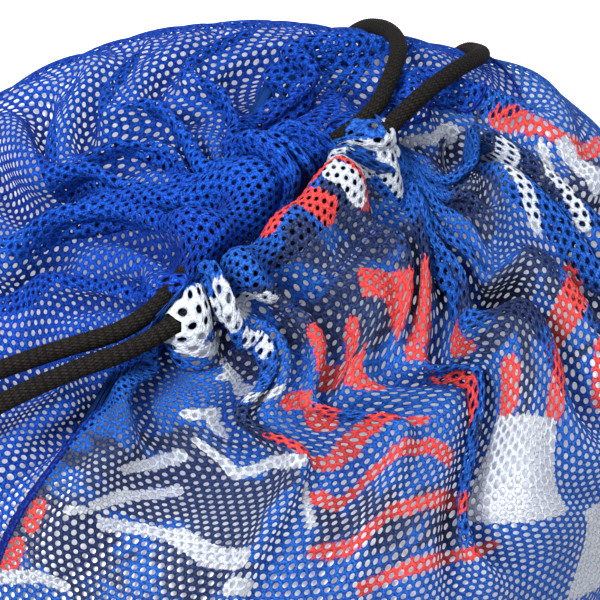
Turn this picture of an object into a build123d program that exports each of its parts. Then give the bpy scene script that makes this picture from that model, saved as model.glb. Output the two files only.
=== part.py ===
"""Drawstring mesh ball bag, standing stuffed on its flat base with the mouth drawn shut.

Millimetres, +Z up.  The origin is the centre of the base.  X runs along the mouth slit and the
side seams, the printed front panel faces -Y and the plain back panel faces +Y.
"""
import os
from math import asin, atan2, cos, degrees, hypot, pi, radians, sin, tan

from build123d import *

os.makedirs("parts", exist_ok=True)

# ---------------------------------------------------------------- driving dimensions
# Stuffed outer form as (height, half width, half depth) of its oval sections.
FORM = [
    (0, 112, 100),
    (10, 132, 118),
    (40, 146, 134),
    (100, 151, 139),
    (180, 152, 140),
    (260, 151, 139),
    (318, 147, 137),
    (358, 139, 133),
    (383, 125, 123),
    (400, 97, 94),
    (409, 66, 54),
    (414, 44, 18),
]
PANEL_T = 2.0  # gathered mesh, folds included
SEAM_W = 4.0
SEAM_TOP_Z = 412.0
BASE_SEAM_Z = 9.0  # the bottom seam runs under the bag and up to here at both corners
SHEET_GAP = 0.4
SHEET_T = 1.2
SHEET_TOP_Z = 407.0

CORD_D = 6.0
CORD_R = CORD_D / 2

MOUTH_HALF = 43.0  # half length of the drawn-shut slit
CASING_MID_Y = 8.2  # casing centre line, at the middle of the slit
CASING_END_Y = 5.2  # and at its two ends
CASING_Z = 415.2
CASING_H = 17.0
CASING_INNER_WALL = 0.8
CASING_OUTER_WALL = 3.3
TUNNEL_W = 7.0
END_GAP = 0.4  # between a cord pass in a casing and the run that follows it
TUNNEL_OVERRUN = 2.0  # the cut runs past both ends of the casing
CORD_PITCH = 6.8  # the two cord passes in one casing, one above the other
CASING_STITCHES = 14
STITCH_L = 3.6
STITCH_D = 0.7
STITCH_PROUD = 0.37  # from the casing's face to the middle of a stitch

TAB_W = 25.0
TAB_T = 3.2
TAB_REACH = 174.0  # from the centre of the bag to the end of the tab
TAB_Z = 20.5
TAB_ROOT = 120.0
TAB_STITCH_X = 146.2
TAB_STITCHES = 5
TAB_STITCH_PITCH = 3.6

EYELET_X = 159.0
EYELET_INNER_R = 6.9
EYELET_BARREL_R = 7.5
EYELET_FLANGE_R = 11.5
EYELET_FLANGE_T = 1.2

STRAND_PITCH = 6.2  # two cord ends side by side in one eyelet
STRAND_END_Y = 8.0  # where the free run meets the end that goes into the knot
KNOT_R = 8.6
KNOT_STEP = 4.0  # the knot is longer than it is thick
KNOT_GAP = 3.2  # from the middle of the tab to the knot, which bears on the eyelet's front flange
TAIL_R = 2.9
TAIL_LENGTH = 34.0
TAIL_SPREAD = 14.0
TAIL_DROP = 12.0

# ---------------------------------------------------------------- routes of the four free runs
EXIT_Z = CASING_Z + CASING_H / 2 + CORD_PITCH / 2 - 0.1
NEAR_X = EYELET_X - STRAND_PITCH / 2
FAR_X = EYELET_X + STRAND_PITCH / 2

LEFT_BACK_ROUTE = [
    (-MOUTH_HALF, CASING_END_Y, EXIT_Z),
    (-57, 3.26, EXIT_Z),
    (-79, 16, 422.5),
    (-99, 33, 414.5),
    (-117, 56, 397.5),
    (-127, 79, 366),
    (-129.5, 92, 321),
    (-131, 94, 268),
    (-133, 95, 214),
    (-136, 92, 160),
    (-141, 84, 110),
    (-147, 71, 68),
    (-152, 52, 36),
    (-NEAR_X, 30, TAB_Z),
    (-NEAR_X, STRAND_END_Y, TAB_Z),
]
LEFT_FRONT_ROUTE = [
    (-MOUTH_HALF, -CASING_END_Y, EXIT_Z),
    (-62.5, -2.49, EXIT_Z),
    (-84, 7, 422),
    (-107, 21, 411),
    (-127, 39, 391),
    (-139, 60, 357),
    (-142, 71, 310),
    (-146, 77, 258),
    (-150, 79, 205),
    (-153, 77, 152),
    (-157, 71, 104),
    (-160, 60, 62),
    (-161, 45, 33),
    (-FAR_X, 26, TAB_Z),
    (-FAR_X, STRAND_END_Y, TAB_Z),
]
RIGHT_BACK_ROUTE = [
    (MOUTH_HALF, CASING_END_Y, EXIT_Z),
    (56.5, 3.33, EXIT_Z),
    (77, 15, 429),
    (97, 27, 423),
    (112, 48, 407.5),
    (122, 76, 379),
    (125, 93, 335),
    (125, 97, 283),
    (128, 100, 229),
    (131, 98, 176),
    (137, 91, 126),
    (144, 78, 80),
    (151, 57, 42),
    (NEAR_X, 33, TAB_Z),
    (NEAR_X, STRAND_END_Y, TAB_Z),
]
RIGHT_FRONT_ROUTE = [
    (MOUTH_HALF, -CASING_END_Y, EXIT_Z),
    (58.9, -2.99, EXIT_Z),
    (84, -2, 428.5),
    (108, 1, 420.5),
    (126, 12, 401),
    (142, 31, 371),
    (148, 49, 328),
    (150, 62, 280),
    (152, 71, 230),
    (155, 75, 178),
    (158, 73, 128),
    (161, 64, 82),
    (161.5, 49, 44),
    (FAR_X, 28, TAB_Z),
    (FAR_X, STRAND_END_Y, TAB_Z),
]
RUN_ROUTES = {
    "left_cord_back_run": LEFT_BACK_ROUTE,
    "left_cord_front_run": LEFT_FRONT_ROUTE,
    "right_cord_back_run": RIGHT_BACK_ROUTE,
    "right_cord_front_run": RIGHT_FRONT_ROUTE,
}


# ---------------------------------------------------------------- shared shapes
def inset(sections, depth):
    """Move each oval section inwards by depth, square to the profile."""
    moved = []
    for below, here, above in zip(sections, sections[1:], sections[2:]):
        rise = above[0] - below[0]
        spread = (above[1] - below[1] + above[2] - below[2]) / 2
        length = hypot(rise, spread)
        inwards = depth * rise / length
        moved.append((here[0] + depth * spread / length, here[1] - inwards, here[2] - inwards))
    foot_z, foot_a, foot_b = sections[0]
    rim_z, rim_a, rim_b = sections[-1]
    foot = (foot_z + depth, foot_a - depth / 2, foot_b - depth / 2)
    return [foot, *moved, (rim_z, rim_a - depth, rim_b - depth)]


def stuffed_form(sections):
    """Smooth closed solid through the oval sections."""
    with BuildPart() as form:
        for height, half_width, half_depth in sections:
            with BuildSketch(Plane.XY.offset(height)):
                Ellipse(half_width, half_depth)
        loft()
    return form.part


def save(piece, name):
    """Label a finished piece and write it under its node name."""
    piece.part.label = name
    export_step(piece.part, f"parts/{name}.step")


OUTER_FORM = stuffed_form(FORM)
PANEL_INNER_FORM = stuffed_form(inset(FORM, PANEL_T))
SHEET_OUTER_FORM = stuffed_form(inset(FORM, PANEL_T + SHEET_GAP))
SHEET_INNER_FORM = stuffed_form(inset(FORM, PANEL_T + SHEET_GAP + SHEET_T))
WIDE = 2 * TAB_REACH
RIM_Z = FORM[-1][0]


# ---------------------------------------------------------------- the two mesh panels
def mesh_panel(side):
    """Half of the hollow shell, its base half included; side is -1 at the front, +1 at the back."""
    with BuildPart() as panel:
        add(OUTER_FORM)
        add(PANEL_INNER_FORM, mode=Mode.SUBTRACT)
        with BuildSketch(Plane.XY.offset(-1)):
            with Locations((0, side * (SEAM_W / 2 + WIDE / 2))):
                Rectangle(WIDE, WIDE)
        extrude(amount=RIM_Z + 2, mode=Mode.INTERSECT)
    return panel


save(mesh_panel(-1), "front_panel")
save(mesh_panel(1), "back_panel")


# ---------------------------------------------------------------- seams between them
def seam_band(x_low, x_high, z_low, z_high):
    """The strip of turned-in allowance that joins the panels, between the given limits."""
    with BuildPart() as band:
        add(OUTER_FORM)
        add(PANEL_INNER_FORM, mode=Mode.SUBTRACT)
        with BuildSketch(Plane.XY.offset(z_low)):
            with Locations(((x_low + x_high) / 2, 0)):
                Rectangle(x_high - x_low, SEAM_W)
        extrude(amount=z_high - z_low, mode=Mode.INTERSECT)
    return band


save(seam_band(-WIDE / 2, 0, BASE_SEAM_Z, SEAM_TOP_Z), "left_side_seam")
save(seam_band(0, WIDE / 2, BASE_SEAM_Z, SEAM_TOP_Z), "right_side_seam")
save(seam_band(-WIDE / 2, WIDE / 2, -1, BASE_SEAM_Z), "bottom_seam")

# ---------------------------------------------------------------- thin stuffing sheet inside
with BuildPart() as packing_sheet:
    add(SHEET_OUTER_FORM)
    add(SHEET_INNER_FORM, mode=Mode.SUBTRACT)
    with BuildSketch(Plane.XY.offset(-1)):
        Rectangle(WIDE, WIDE)
    extrude(amount=SHEET_TOP_Z + 1, mode=Mode.INTERSECT)
save(packing_sheet, "packing_sheet")


# ---------------------------------------------------------------- drawcord casing at the mouth
def casing_arc(side, offset=0.0, height=0.0):
    """Centre line of one casing in plan; offset moves it away from the slit."""
    end_y = side * (CASING_END_Y + offset)
    mid_y = side * (CASING_MID_Y + offset)
    return (-MOUTH_HALF, end_y, height), (0, mid_y, height), (MOUTH_HALF, end_y, height)


SAGITTA = CASING_MID_Y - CASING_END_Y
ARC_R = (MOUTH_HALF**2 + SAGITTA**2) / (2 * SAGITTA)


TUNNEL_Z = CASING_Z + CASING_H / 2 - 0.1
INNER_FACE = -TUNNEL_W / 2 - CASING_INNER_WALL
OUTER_FACE = TUNNEL_W / 2 + CASING_OUTER_WALL


def gathered_casing(side):
    """One gathered hem: a crescent in plan with the drawcord tunnel along it."""
    inner_start, inner_mid, inner_end = casing_arc(side, INNER_FACE)
    outer_start, outer_mid, outer_end = casing_arc(side, OUTER_FACE)
    with BuildPart() as casing:
        with BuildSketch(Plane.XY.offset(CASING_Z)):
            with BuildLine():
                ThreePointArc(inner_start, inner_mid, inner_end)
                Line(inner_end, outer_end)
                ThreePointArc(outer_end, outer_mid, outer_start)
                Line(outer_start, inner_start)
            make_face()
        extrude(amount=CASING_H)
        crown = casing.faces().sort_by(Axis.Z)[-1].edges().filter_by(GeomType.CIRCLE)
        chamfer(crown.sort_by(Axis.Y)[0 if side < 0 else -1], length=2.4)
        with BuildLine() as tunnel_line:
            arc = ThreePointArc(*casing_arc(side, 0, TUNNEL_Z))
            Line(arc @ 0 - (arc % 0) * TUNNEL_OVERRUN, arc @ 0)
            Line(arc @ 1, arc @ 1 + (arc % 1) * TUNNEL_OVERRUN)
        tunnel_start = arc @ 0 - (arc % 0) * TUNNEL_OVERRUN
        with BuildSketch(Plane(origin=tunnel_start, z_dir=arc % 0, x_dir=(0, 0, 1))):
            SlotCenterToCenter(CORD_PITCH, TUNNEL_W)
        sweep(path=tunnel_line.wire(), mode=Mode.SUBTRACT)
    return casing


def casing_cords(side):
    """The two cord passes inside one casing, a hair short of its ends."""
    start_angle = degrees(atan2(MOUTH_HALF - END_GAP, ARC_R))
    centre_y = side * (CASING_MID_Y - ARC_R)
    with BuildPart() as cords:
        for height in (TUNNEL_Z - CORD_PITCH / 2, TUNNEL_Z + CORD_PITCH / 2):
            with BuildLine() as line:
                CenterArc((0, centre_y, height), ARC_R, side * 90 - start_angle, 2 * start_angle)
            with BuildSketch(Plane(origin=line.line @ 0, z_dir=line.line % 0)):
                Circle(CORD_R)
            sweep(path=line.line)
    return cords


def casing_stitching(side):
    """The row of stitches that closes the casing's hem, low on its outer face."""
    mid_y = side * (CASING_MID_Y + OUTER_FACE + STITCH_PROUD)
    half_angle = degrees(atan2(MOUTH_HALF - STITCH_L, ARC_R))
    step = 2 * half_angle / (CASING_STITCHES - 1)
    with BuildPart() as stitches:
        with BuildSketch(Plane.XY.offset(CASING_Z + 2.5)):
            for number in range(CASING_STITCHES):
                turn = number * step - half_angle
                x = ARC_R * sin(radians(turn))
                y = mid_y - side * ARC_R * (1 - cos(radians(turn)))
                with Locations(Location((x, y, 0), (0, 0, -side * turn))):
                    Rectangle(STITCH_L, STITCH_D)
        extrude(amount=STITCH_D)
    return stitches


for side, name in ((-1, "front"), (1, "back")):
    save(gathered_casing(side), f"{name}_casing")
    save(casing_cords(side), f"{name}_casing_cords")
    save(casing_stitching(side), f"{name}_casing_stitching")


# ---------------------------------------------------------------- cord turns at the slit's ends
def cord_turn(end):
    """Where a cord turns back from the front casing into the back casing; end is -1 or +1."""
    height = TUNNEL_Z - CORD_PITCH / 2
    slant = asin(MOUTH_HALF / ARC_R)
    start = (end * MOUTH_HALF, -CASING_END_Y, height)
    finish = (end * MOUTH_HALF, CASING_END_Y, height)
    with BuildPart() as turn:
        with BuildLine() as line:
            TangentArc(start, finish, tangent=(end * cos(slant), sin(slant), 0))
        with BuildSketch(Plane(origin=line.line @ 0, z_dir=line.line % 0)):
            Circle(CORD_R)
        sweep(path=line.line)
    return turn


save(cord_turn(-1), "right_cord_turn")
save(cord_turn(1), "left_cord_turn")


# ---------------------------------------------------------------- free cord runs
def arc_radii(route):
    """Radius of the arc at each inner point: as large as its two runs allow."""
    radii = []
    for before, here, after in zip(route, route[1:], route[2:]):
        arriving = Vector(*here) - Vector(*before)
        leaving = Vector(*after) - Vector(*here)
        half_turn = radians(arriving.get_angle(leaving)) / 2
        radii.append(0.45 * min(arriving.length, leaving.length) / tan(half_turn))
    return radii


def cord_run(route):
    """A round tube along straight runs joined by tangent arcs."""
    with BuildPart() as run:
        with BuildLine() as line:
            FilletPolyline(*route, radius=arc_radii(route))
        with BuildSketch(Plane(origin=line.line @ 0, z_dir=line.line % 0)):
            Circle(CORD_R)
        sweep(path=line.line)
    length = line.wire().length
    expected = pi * CORD_R**2 * length
    print(f"length {length:.0f} mm, volume / expected {run.part.volume / expected:.4f}")
    return run


for name, route in RUN_ROUTES.items():
    print(name, "radii", [round(radius) for radius in arc_radii(route)])
    save(cord_run(route), name)


# ---------------------------------------------------------------- bottom corners
def corner_tab(end):
    """Webbing tab sewn into the bottom corner, its inner edge against the side seam."""
    with BuildPart() as tab:
        with BuildSketch(Plane.XZ):
            with Locations((end * (TAB_ROOT + TAB_REACH) / 2, TAB_Z)):
                RectangleRounded(TAB_REACH - TAB_ROOT, TAB_W, 3)
            with Locations((end * EYELET_X, TAB_Z)):
                Circle(EYELET_BARREL_R, mode=Mode.SUBTRACT)
        extrude(amount=TAB_T / 2, both=True)
        add(OUTER_FORM, mode=Mode.SUBTRACT)
    return tab


def eyelet(end):
    """Front half of the eyelet: a flange and the barrel that goes through the tab."""
    with BuildPart() as ring:
        with BuildSketch(Plane.XZ.offset(TAB_T / 2)):
            with Locations((end * EYELET_X, TAB_Z)):
                Circle(EYELET_FLANGE_R)
                Circle(EYELET_INNER_R, mode=Mode.SUBTRACT)
        extrude(amount=EYELET_FLANGE_T)
        front_rim = ring.faces().sort_by(Axis.Y)[0].edges()
        fillet(front_rim, radius=EYELET_FLANGE_T * 0.4)
        with BuildSketch(Plane.XZ.offset(-TAB_T / 2)):
            with Locations((end * EYELET_X, TAB_Z)):
                Circle(EYELET_BARREL_R)
                Circle(EYELET_INNER_R, mode=Mode.SUBTRACT)
        extrude(amount=TAB_T)
    return ring


def eyelet_washer(end):
    """Back half of the eyelet, pressed against the other face of the tab."""
    with BuildPart() as washer:
        with BuildSketch(Plane.XZ.offset(-TAB_T / 2)):
            with Locations((end * EYELET_X, TAB_Z)):
                Circle(EYELET_FLANGE_R)
                Circle(EYELET_INNER_R, mode=Mode.SUBTRACT)
        extrude(amount=-EYELET_FLANGE_T)
        back_rim = washer.faces().sort_by(Axis.Y)[-1].edges()
        fillet(back_rim, radius=EYELET_FLANGE_T * 0.4)
    return washer


def tab_stitching(end):
    """Bar of stitches across both faces of the tab, beside the seam."""
    with BuildPart() as stitches:
        for face in (TAB_T / 2, -TAB_T / 2 - STITCH_D):
            with BuildSketch(Plane.XZ.offset(face)):
                with Locations((end * TAB_STITCH_X, TAB_Z)):
                    with GridLocations(1, TAB_STITCH_PITCH, 1, TAB_STITCHES):
                        Rectangle(STITCH_D, TAB_STITCH_PITCH * 0.8)
            extrude(amount=STITCH_D)
    return stitches


def stopper_knot(end):
    """Both ends of one cord: through the eyelet side by side, knotted, with two loose tails."""
    knot_y = -KNOT_GAP - KNOT_R
    with BuildPart() as knot:
        with BuildSketch(Plane.XZ.offset(-STRAND_END_Y)):
            with Locations((end * EYELET_X, TAB_Z)):
                with GridLocations(STRAND_PITCH, 1, 2, 1):
                    Circle(CORD_R)
        extrude(amount=STRAND_END_Y - knot_y)
        with Locations((end * EYELET_X, knot_y, TAB_Z), (end * EYELET_X, knot_y - KNOT_STEP, TAB_Z)):
            Sphere(KNOT_R)
        for spread in (-0.5, 0.5):
            start = Vector(end * EYELET_X + spread * CORD_D, knot_y - KNOT_STEP, TAB_Z)
            away = Vector(spread * TAIL_SPREAD, -TAIL_LENGTH, -TAIL_DROP)
            with BuildSketch(Plane(origin=start, z_dir=away)):
                Circle(TAIL_R)
            extrude(amount=away.length)
    return knot


for end, name in ((-1, "left"), (1, "right")):
    save(corner_tab(end), f"{name}_corner_tab")
    save(eyelet(end), f"{name}_eyelet")
    save(eyelet_washer(end), f"{name}_eyelet_washer")
    save(tab_stitching(end), f"{name}_tab_stitching")
    save(stopper_knot(end), f"{name}_knot")
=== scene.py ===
"""Drawstring mesh ball bag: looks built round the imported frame.  Metres, +Z up.

The origin is the middle of the base.  X runs along the mouth slit and the side seams, the printed
front panel faces -Y and the plain back panel faces +Y.  Cloth places are flat coordinates: s runs
round the bag from the left side seam past the front, and m runs up the cloth from the base edge.
"""

from math import cos, pi, radians, sin, sqrt

import bpy
import numpy as np
from mathutils import Matrix, Vector


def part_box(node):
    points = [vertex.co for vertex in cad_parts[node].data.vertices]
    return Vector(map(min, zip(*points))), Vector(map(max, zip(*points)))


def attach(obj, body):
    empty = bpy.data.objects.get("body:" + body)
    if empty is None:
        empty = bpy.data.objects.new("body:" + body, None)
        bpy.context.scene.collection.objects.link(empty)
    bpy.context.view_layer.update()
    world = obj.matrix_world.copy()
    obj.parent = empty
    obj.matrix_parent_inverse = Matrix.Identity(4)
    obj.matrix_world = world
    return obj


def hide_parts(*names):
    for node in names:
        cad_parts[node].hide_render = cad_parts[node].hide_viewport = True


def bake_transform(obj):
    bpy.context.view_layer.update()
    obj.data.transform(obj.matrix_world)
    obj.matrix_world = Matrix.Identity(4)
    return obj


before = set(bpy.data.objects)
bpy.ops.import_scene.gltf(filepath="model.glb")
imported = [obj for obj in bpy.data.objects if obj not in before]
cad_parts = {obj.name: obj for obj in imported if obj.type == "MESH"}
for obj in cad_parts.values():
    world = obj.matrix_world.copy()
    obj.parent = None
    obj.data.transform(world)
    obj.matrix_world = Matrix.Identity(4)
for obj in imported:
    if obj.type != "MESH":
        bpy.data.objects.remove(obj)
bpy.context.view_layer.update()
SIDES = {"left": -1, "right": 1}
FACES = {"front": -1, "back": 1}

# ---------------------------------------------------------------- sizes
CORD_D = 0.006
CORD_R = CORD_D / 2
PANEL_WIDTH = 0.460  # flat, from side seam to side seam
RING = 2 * PANEL_WIDTH  # both panels, flat
HOLES_ACROSS = 135
HOLE_PITCH = PANEL_WIDTH / HOLES_ACROSS
HOLE_R = 0.30 * HOLE_PITCH
ROW_PITCH = HOLE_PITCH * sqrt(3) / 2
YARN = 0.00035  # how far a hole's rim lies below the face of the mesh
CORD_CLEAR = CORD_R + 0.0006  # the cloth keeps this far from a cord's centre line
LIP_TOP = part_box("front_casing")[1].z
MOUTH = Vector((0, 0, LIP_TOP - 0.002))
SLIT_END_X = 0.043
SLIT_END_Y = 0.0052
SLIT_MID_Y = 0.0082
EXIT_Z = 0.427
LOWER_PASS_Z = 0.4202
EYELET = Vector((0.159, 0, 0.0205))

# Stuffed form as (height, half width, half depth) of its oval sections, then over the gathered hem
# and down into the slit.
FORM = [
    (0.000, 0.112, 0.100),
    (0.010, 0.132, 0.118),
    (0.040, 0.146, 0.134),
    (0.100, 0.151, 0.139),
    (0.180, 0.152, 0.140),
    (0.260, 0.151, 0.139),
    (0.318, 0.147, 0.137),
    (0.358, 0.139, 0.133),
    (0.383, 0.125, 0.123),
    (0.399, 0.099, 0.096),
    (0.408, 0.072, 0.061),
    (0.4135, 0.056, 0.034),
    (0.4200, 0.0490, 0.0210),
    (0.4275, 0.0465, 0.0165),
    (0.4325, 0.0440, 0.0120),
    (0.4335, 0.0420, 0.0080),
    (0.4300, 0.0410, 0.0050),
    (0.4160, 0.0400, 0.0038),
]
HEM_SECTION = 12  # where the gathered hem begins
BASE_DEPTH = 0.100  # flat, from the base edge in to the bottom seam
FLOOR_GAP = 0.0009


# ---------------------------------------------------------------- camera
CAMERA_AZIMUTH = -50  # degrees round from the front
CAMERA_ELEVATION = 52
CAMERA_DISTANCE = 0.780
FRAME_WIDTH = 0.1875  # what the picture spans at the mouth
SENSOR = 36.0  # millimetres, as Blender has it
MOUTH_IN_FRAME = (-0.050, 0.142)  # from the middle of the picture, in widths, right and up


def link(name, data):
    thing = bpy.data.objects.new(name, data)
    bpy.context.scene.collection.objects.link(thing)
    return thing


def direction(azimuth, elevation):
    """Unit vector at an azimuth round from the front and an elevation, in degrees."""
    a, e = radians(azimuth), radians(elevation)
    return Vector((sin(a) * cos(e), -cos(a) * cos(e), sin(e)))


def make_camera():
    back = direction(CAMERA_AZIMUTH, CAMERA_ELEVATION)
    right = Vector((cos(radians(CAMERA_AZIMUTH)), sin(radians(CAMERA_AZIMUTH)), 0))
    up = back.cross(right)
    data = bpy.data.cameras.new("camera")
    data.sensor_width = SENSOR
    data.lens = SENSOR * CAMERA_DISTANCE / FRAME_WIDTH
    data.clip_start = 0.01
    camera = link("camera", data)
    aim = MOUTH - right * (MOUTH_IN_FRAME[0] * FRAME_WIDTH) - up * (MOUTH_IN_FRAME[1] * FRAME_WIDTH)
    turn = Matrix((right, up, back)).transposed().to_4x4()
    camera.matrix_world = Matrix.Translation(aim + back * CAMERA_DISTANCE) @ turn
    bpy.context.scene.camera = camera


make_camera()


# ---------------------------------------------------------------- cord routes
# Control points of each visible run, from the end of the slit to the eyelet.
ROUTES = {
    "left_cord_back_run": [
        (-0.043, 0.0052, 0.427), (-0.057, 0.00326, 0.427), (-0.079, 0.0175, 0.4255),
        (-0.100, 0.035, 0.4165), (-0.117, 0.056, 0.3975), (-0.127, 0.079, 0.366),
        (-0.1295, 0.092, 0.321), (-0.131, 0.094, 0.268), (-0.133, 0.095, 0.214),
        (-0.136, 0.092, 0.160), (-0.141, 0.084, 0.110), (-0.147, 0.071, 0.068),
        (-0.152, 0.052, 0.036), (-0.1559, 0.030, 0.0205), (-0.1559, 0.008, 0.0205),
    ],
    "left_cord_front_run": [
        (-0.043, -0.0052, 0.427), (-0.0625, -0.00249, 0.427), (-0.084, 0.010, 0.4255),
        (-0.108, 0.025, 0.4155), (-0.128, 0.044, 0.394), (-0.139, 0.060, 0.357),
        (-0.142, 0.071, 0.310), (-0.146, 0.077, 0.258), (-0.150, 0.079, 0.205),
        (-0.153, 0.077, 0.152), (-0.157, 0.071, 0.104), (-0.160, 0.060, 0.062),
        (-0.161, 0.045, 0.033), (-0.1621, 0.026, 0.0205), (-0.1621, 0.008, 0.0205),
    ],
    "right_cord_back_run": [
        (0.043, 0.0052, 0.427), (0.0565, 0.00333, 0.427), (0.078, 0.0130, 0.4225),
        (0.097, 0.0240, 0.4135), (0.1118, 0.0425, 0.3985), (0.1240, 0.0655, 0.3730),
        (0.1280, 0.0840, 0.3350), (0.125, 0.097, 0.283), (0.128, 0.100, 0.229),
        (0.131, 0.098, 0.176), (0.137, 0.091, 0.126), (0.144, 0.078, 0.080),
        (0.151, 0.057, 0.042), (0.1559, 0.033, 0.0205), (0.1559, 0.008, 0.0205),
    ],
    "right_cord_front_run": [
        (0.043, -0.0052, 0.427), (0.0589, -0.00299, 0.427), (0.084, -0.0025, 0.4250),
        (0.1075, 0.0005, 0.4140), (0.1265, 0.0095, 0.3950), (0.142, 0.031, 0.371),
        (0.148, 0.049, 0.328), (0.150, 0.062, 0.280), (0.152, 0.071, 0.230),
        (0.155, 0.075, 0.178), (0.158, 0.073, 0.128), (0.161, 0.064, 0.082),
        (0.1615, 0.049, 0.044), (0.1621, 0.028, 0.0205), (0.1621, 0.008, 0.0205),
    ],
}
RUN_STEP = 0.0006
CASING_POINTS = 61


def nurbs_line(route):
    """The points along a NURBS spline that has these control points."""
    curve = bpy.data.curves.new("route", "CURVE")
    curve.dimensions = "3D"
    curve.resolution_u = 32
    spline = curve.splines.new("NURBS")
    spline.points.add(len(route) - 1)
    for point, place in zip(spline.points, route):
        point.co = (*place, 1)
    spline.order_u = 3
    spline.use_endpoint_u = True
    holder = link("route", curve)
    mesh = bpy.data.meshes.new_from_object(holder)
    points = np.array([vertex.co for vertex in mesh.vertices])
    bpy.data.objects.remove(holder)
    bpy.data.curves.remove(curve)
    bpy.data.meshes.remove(mesh)
    return points


def evenly(points, step):
    """The same line with points a step apart."""
    along = np.concatenate([[0], np.cumsum(np.linalg.norm(np.diff(points, axis=0), axis=1))])
    where = np.linspace(0, along[-1], max(int(along[-1] / step), 2) + 1)
    return np.stack([np.interp(where, along, points[:, axis]) for axis in range(3)], -1)


def casing_arc(face, z):
    """A cord pass inside one half of the casing, from the left end of the slit to the right."""
    sagitta = SLIT_MID_Y - SLIT_END_Y
    radius = (SLIT_END_X**2 + sagitta**2) / (2 * sagitta)
    x = np.linspace(-SLIT_END_X, SLIT_END_X, CASING_POINTS)
    y = np.sqrt(radius**2 - x**2) - radius + SLIT_MID_Y
    return np.stack([x, face * y, np.full_like(x, z)], -1)


def turn_arc(side):
    """Where the opposite cord turns round the end of the slit, from the front half to the back."""
    angle = np.linspace(-pi / 2, pi / 2, 25)
    x = side * (SLIT_END_X + SLIT_END_Y * np.cos(angle))
    return np.stack([x, SLIT_END_Y * np.sin(angle), np.full_like(x, LOWER_PASS_Z)], -1)


run_lines = {name: evenly(nurbs_line(route), RUN_STEP) for name, route in ROUTES.items()}


# ---------------------------------------------------------------- cloth form
def pchip(stations, values, where):
    """Smooth curve through values at stations, read at where."""
    step = np.diff(stations)
    slope = np.diff(values) / step
    tangent = np.empty_like(values)
    tangent[1:-1] = (slope[:-1] * step[1:] + slope[1:] * step[:-1]) / (step[:-1] + step[1:])
    tangent[0], tangent[-1] = slope[0], slope[-1]
    i = np.clip(np.searchsorted(stations, where) - 1, 0, len(step) - 1)
    t = (where - stations[i]) / step[i]
    return ((2 * t**3 - 3 * t**2 + 1) * values[i] + (t**3 - 2 * t**2 + t) * step[i] * tangent[i]
            + (3 * t**2 - 2 * t**3) * values[i + 1] + (t**3 - t**2) * step[i] * tangent[i + 1])


def blur(rows, width, wrap=True):
    """Gaussian blur along the last axis; width is in samples."""
    reach = int(3 * width) + 1
    kernel = np.exp(-0.5 * (np.arange(-reach, reach + 1) / width) ** 2)
    kernel /= kernel.sum()
    padded = np.pad(rows, [(0, 0)] * (rows.ndim - 1) + [(reach, reach)], mode="wrap" if wrap else "edge")
    return np.apply_along_axis(lambda row: np.convolve(row, kernel, mode="valid"), -1, padded)


def rise(value, low, high):
    """Smooth step from 0 at low to 1 at high."""
    t = np.clip((value - low) / (high - low), 0, 1)
    return t * t * (3 - 2 * t)


def unit(vectors):
    return vectors / (np.linalg.norm(vectors, axis=-1, keepdims=True) + 1e-12)


def soft_noise(rng, shape, across, along):
    """Seeded noise of about unit size; across and along are its grain in samples."""
    raw = blur(rng.standard_normal(shape), across)
    raw = blur(raw.T, along, wrap=False).T
    return raw / raw.std()


S_STEP = 0.001
M_STEP = 0.002
sections = np.array(FORM)
section_m = np.concatenate([[0], np.cumsum(np.hypot(np.diff(sections[:, 0]), np.diff(sections[:, 1:].mean(1))))])
HEM_M = section_m[HEM_SECTION]
m_line = np.arange(0, int(section_m[-1] / M_STEP) + 1) * M_STEP
s_line = np.arange(0, int(round(RING / S_STEP))) * S_STEP
GRID = (len(m_line), len(s_line))


def form_rings():
    """The unfolded form: positions and normals on its rings, and the length along each ring."""
    z, half_width, half_depth = (pchip(section_m, sections[:, i].copy(), m_line)[:, None] for i in range(3))
    angle = np.linspace(0, 2 * pi, 1441)
    x = -half_width * np.cos(angle)
    y = -half_depth * np.sin(angle)
    points = np.stack([x, y, np.broadcast_to(z, x.shape)], -1)
    along = np.gradient(points, axis=1)
    along[:, 0] = along[:, -1] = points[:, 1] - points[:, -2]
    normals = unit(np.cross(along, np.gradient(points, axis=0)))
    steps = np.linalg.norm(np.diff(points, axis=1), axis=2)
    lengths = np.concatenate([np.zeros((len(m_line), 1)), np.cumsum(steps, axis=1)], axis=1)
    return points, normals, lengths


form_points, form_normals, form_lengths = form_rings()


def off_form(i, at, out):
    """Places at lengths along one ring of the form, standing out from it."""
    point, normal = (np.stack([np.interp(at, form_lengths[i], values[i, :, c]) for c in range(3)], -1)
                     for values in (form_points, form_normals))
    return point + out[:, None] * normal


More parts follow.
